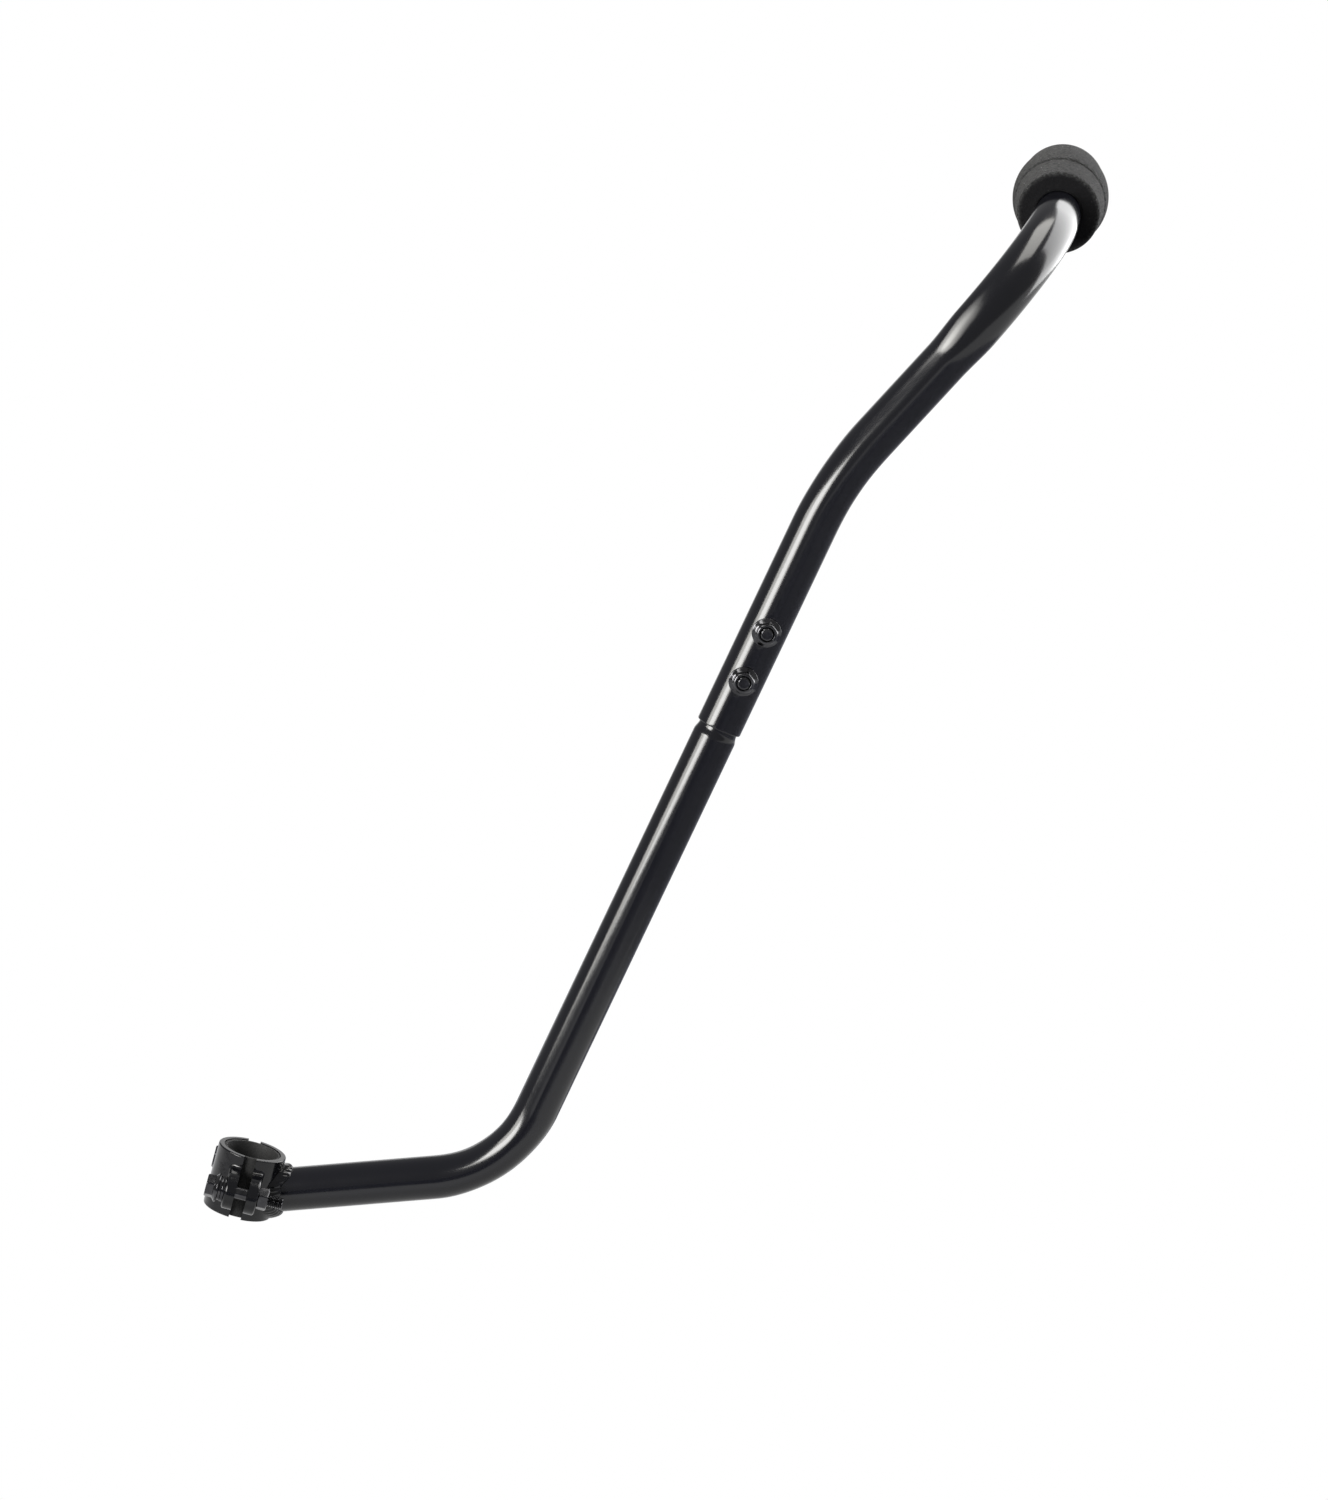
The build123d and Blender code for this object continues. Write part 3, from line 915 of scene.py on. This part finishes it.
def grip_foam():
    """Matte black foam: coarse grain, open pores, a few pale specks and faint haze.

    Painted shade darkens the pores' pits and the near end face.
    """
    material, shader, maker = finish("black_foam")
    place = maker.node("ShaderNodeTexCoord", output=3)
    painted_shade_face = maker.node("ShaderNodeAttribute", {"attribute_name": "end_face_painted_shade"}, output=2)
    bubbles = maker.node(
        "ShaderNodeTexVoronoi", {"feature": "F1"}, {"Vector": place, "Scale": 1000.0, "Randomness": 1.0}
    )
    pores = spread(maker, bubbles, 0.1, 0.55)
    grain = spread(maker, noise(maker, place, 720.0, detail=4.0, roughness=0.65), 0.36, 0.66)
    clouds = spread(maker, noise(maker, place, 90.0), 0.3, 0.7, 0.75, 1.0)
    specks = spread(maker, noise(maker, place, 1050.0, detail=0.0), 0.81, 0.83)
    # Darker where the pores sink in: painted shade in the pits, whose depth the bump below gives
    skin = blend(maker, grain * (0.45 + pores * 0.55) * clouds, foam_dark, foam_light)
    speckled = blend(maker, specks * 0.6, skin, foam_speck)
    feed(
        shader,
        maker,
        # Painted shade: the near end face's colour is taken almost to black
        base_color=blend(maker, painted_shade_face * 0.92, speckled, foam_end_painted_shade),
        roughness=spread(maker, grain, 0.0, 1.0, 0.9, 1.0),
        normal=bump(maker, (pores + grain * 0.8) * (1 - painted_shade_face * 0.75), strength=0.7, distance=0.0006),
    )
    shader.inputs["Specular IOR Level"].default_value = 0.1
    shader.inputs["Sheen Weight"].default_value = 0.08
    shader.inputs["Sheen Roughness"].default_value = 0.5
    return material


def placed(right, up, back, spot):
    """Matrix of an object from the directions of its axes and its place."""
    return Matrix([[right[k], up[k], back[k], spot[k]] for k in range(3)] + [[0, 0, 0, 1]])


def outward(azimuth, elevation):
    """Direction by its azimuth from the camera's side to the right and its elevation above level."""
    return np.array([sin(azimuth) * cos(elevation), -cos(azimuth) * cos(elevation), sin(elevation)])


def area_light(
    name, azimuth, elevation, distance, size, radiance, aim,
    roll=0.0, beam=pi, tint=(1, 1, 1), gloss_only=False,
):
    """Soft light round a point, facing it from a distance. The roll lowers its side of greater azimuth.

    Its power is the radiance times pi times its area, times the share of its light that a beam of that
    full angle keeps: 1 - h / tan h for half the angle h. A light for the gloss only is oval, shows in the
    enamel and adds nothing to the level at which plain colours are lit.
    """
    lamp = bpy.data.lights.new(name, "AREA")
    lamp.shape = "ELLIPSE" if gloss_only else "RECTANGLE"
    lamp.size, lamp.size_y = size
    area = size[0] * size[1] * (pi / 4 if gloss_only else 1)
    lamp.energy = radiance * pi * area * (1 - beam / 2 / tan(beam / 2))
    lamp.spread = beam
    lamp.color = tint
    made = bpy.data.objects.new(name, lamp)
    out = outward(azimuth, elevation)
    level = unit(np.cross(np.array([0, 0, 1.0]), out))
    right = cos(roll) * level - sin(roll) * np.cross(out, level)
    made.matrix_world = placed(right, np.cross(out, right), out, aim + out * distance)
    made.visible_camera = False
    made.visible_diffuse = not gloss_only
    bpy.context.scene.collection.objects.link(made)


def studio():
    """Pale floor, dim room, soft panels at the left, above and at the right rear, and a screen."""
    bpy.context.scene.view_settings.view_transform = "Standard"
    middle = (np.array(cad_box[0]) + np.array(cad_box[1])) / 2
    area_light(
        "left_panel", radians(-50), radians(15.8), distance=1.46, size=(1.05, 0.61), radiance=10.0,
        aim=middle, tint=warm_white,
    )
    area_light(
        "left_panel_core", radians(-45), radians(15.8), distance=1.44, size=(0.48, 0.58), radiance=10.0,
        aim=middle,
    )
    leaf = {
        "distance": 0.67,
        "size": (0.6, 0.44),
        "radiance": 15.0,
        "aim": third_corner + np.array([0.12, 0.04, 0.10]),
        "roll": radians(19),
        "beam": radians(62),
        "tint": warm_white,
        "gloss_only": True,
    }
    area_light("high_left_leaf", radians(-62), radians(37.5), **leaf)
    area_light("high_front_leaf", radians(-39), radians(31.5), **leaf)
    area_light(
        "high_rear_panel", radians(116), radians(68), distance=0.9, size=(0.66, 0.46), radiance=6.0,
        aim=third_corner, roll=radians(20), tint=warm_white,
    )
    area_light(
        "right_rear_panel", radians(121), radians(20), distance=1.6, size=(1.6, 1.65), radiance=5.2,
        aim=middle,
    )
    room_light()
    floor()
    folding_screen()


def room_light():
    """Dim even light from all round."""
    world = bpy.data.worlds.new("room")
    world.use_nodes = True
    bpy.context.scene.world = world
    background = world.node_tree.nodes["Background"]
    background.inputs["Color"].default_value = (1, 1, 1, 1)
    background.inputs["Strength"].default_value = room_strength


def stand(name, corners, faces, material):
    """Stage piece made of flat faces."""
    mesh = bpy.data.meshes.new(name)
    mesh.from_pydata(corners, [], faces)
    mesh.materials.append(material)
    made = bpy.data.objects.new(name, mesh)
    bpy.context.scene.collection.objects.link(made)
    return made


def white_stage(name, near_share):
    """White stage material: lit near the middle, where it takes the shadow, and white further out."""
    material = bpy.data.materials.new(name)
    material.use_nodes = True
    tree = material.node_tree
    maker = Tone(tree, None)
    direct = maker.node("ShaderNodeLightPath", output=0)
    mirrored = Tone(tree, direct.socket.node.outputs["Is Glossy Ray"])
    through = Tone(tree, direct.socket.node.outputs["Is Transmission Ray"])
    place = maker.node("ShaderNodeTexCoord", output=3)
    flat = maker.node("ShaderNodeVectorMath", {"operation": "MULTIPLY"}, {0: place, 1: (1.0, 1.0, 0.0)})
    away = maker.node("ShaderNodeVectorMath", {"operation": "LENGTH"}, {0: flat}, output=1)
    seen_white = (direct + mirrored + through) * spread(maker, away, *shadow_reach, near_share, 1.0)
    lit = maker.node("ShaderNodeBsdfDiffuse", {}, {"Color": (*floor_grey, 1)})
    white = maker.node("ShaderNodeEmission", {}, {"Color": (1, 1, 1, 1), "Strength": 1.0})
    mixed = maker.node("ShaderNodeMixShader", {}, {0: seen_white, 1: lit, 2: white})
    tree.links.new(mixed.socket, tree.nodes["Material Output"].inputs["Surface"])
    return material


def floor():
    """Wide pale floor below the handle, and a backdrop behind it."""
    edge = floor_half_width
    corners = [(-edge, -edge), (edge, -edge), (edge, edge), (-edge, edge)]
    floor_corners = [(x, y, floor_level) for x, y in corners]
    stand("floor", floor_corners, [(0, 1, 2, 3)], white_stage("pale_floor", 0.5))
    left, right, back, top = backdrop_edges
    backdrop_corners = [
        (left, back, floor_level),
        (right, back, floor_level),
        (right, back, top),
        (left, back, top),
    ]
    stand("backdrop", backdrop_corners, [(0, 1, 2, 3)], white_stage("pale_backdrop", 1.0))


def folding_screen():
    """Grey folding screen for the gloss to mirror: behind the camera, right, and low at the rear."""
    material, shader, _ = finish("grey_cloth")
    shader.inputs["Base Color"].default_value = (*screen_grey, 1)
    shader.inputs["Roughness"].default_value = 1.0
    shader.inputs["Specular IOR Level"].default_value = 0.0
    posts = len(screen_posts)
    corners = [(x, y, floor_level) for x, y, top in screen_posts] + list(screen_posts)
    leaves = [(k, k + 1, posts + k + 1, posts + k) for k in range(posts - 1)]
    stand("folding_screen", corners, leaves, material).visible_camera = False


def camera():
    """Camera at the photograph's place and angle."""
    data = bpy.data.cameras.new("camera")
    data.lens = camera_lens
    data.sensor_width = camera_sensor
    data.clip_end = 200.0
    made = bpy.data.objects.new("camera", data)
    right = np.array([cos(camera_azimuth), sin(camera_azimuth), 0.0])
    back = outward(camera_azimuth, camera_elevation)
    made.matrix_world = placed(right, np.cross(back, right), back, camera_place)
    bpy.context.scene.collection.objects.link(made)
    bpy.context.scene.camera = made


finishes = {
    "tube_enamel": tube_enamel(),
    "clamp_enamel": clamp_enamel(),
    "black_fasteners": black_fasteners(),
    "liner_rubber": liner_rubber(),
    "grip_foam": grip_foam(),
}


def dress(piece, slot, *replaced):
    """Gives a new piece its finish, sets it on the handle and hides the solids that it stands for."""
    piece.data.materials.append(finishes[slot])
    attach(piece, "root")
    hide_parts(*replaced)
    return piece


def clamp_fasteners(side):
    """Bolt, two washers and nut on one side of the clamp, the head to the front."""
    forward = -clamp_rear
    middle = to_the_right * node_centre(f"{side}_clamp_bolt")[1]
    front = middle + forward * ear_face
    head = front + forward * 2 * washer_thickness
    rear = middle + clamp_rear * ear_face
    return {
        f"{side}_clamp_washer": make_washer("flat_washer", front, forward, flat_washer_radius, 0.0, 0.0),
        f"{side}_lock_washer": make_washer(
            "split_washer",
            front + forward * washer_thickness,
            forward,
            lock_washer_radius,
            lock_washer_split,
            lock_washer_slant,
        ),
        f"{side}_clamp_bolt": make_bolt(
            "clamp_bolt_with_thread", head, forward, bore_axis, clamp_bolt_length
        ),
        f"{side}_clamp_nut": make_plain_nut("hexagon_nut", rear, clamp_rear, bore_axis),
    }


def joint_fasteners(level):
    """Through bolt and flange nut of the tube joint, the nut on the left."""
    centre = node_centre(f"{level}_joint_nut") * (1, 0, 1)
    seat = to_the_right * (upper_radius - bolt_seat_depth)
    return {
        f"{level}_joint_bolt": make_bolt(
            "joint_bolt_with_thread", centre + seat, to_the_right, riser_direction, joint_bolt_length
        ),
        f"{level}_joint_nut": make_flange_nut(
            "flange_nut", centre - seat, -to_the_right, riser_direction
        ),
    }


for subpart in frame["record"]["subparts"]:
    for place in nodes[subpart["node"]].material_slots:
        place.material = finishes[subpart["material_slot"]]
dress(make_lower_tube(), "tube_enamel", "lower_tube")
dress(make_upper_tube(), "tube_enamel", "upper_tube")
dress(make_weld(), "clamp_enamel", "tube_weld")
dress(make_liner("front_lining", -clamp_rear), "liner_rubber", "front_clamp_liner")
dress(make_liner("rear_lining", clamp_rear), "liner_rubber", "rear_clamp_liner")
foam = dress(make_grip(), "grip_foam", "foam_grip")
fasteners = {
    **clamp_fasteners("left"),
    **clamp_fasteners("right"),
    **joint_fasteners("lower"),
    **joint_fasteners("upper"),
}
for node, piece in fasteners.items():
    dress(piece, "black_fasteners", node)
studio()
camera()
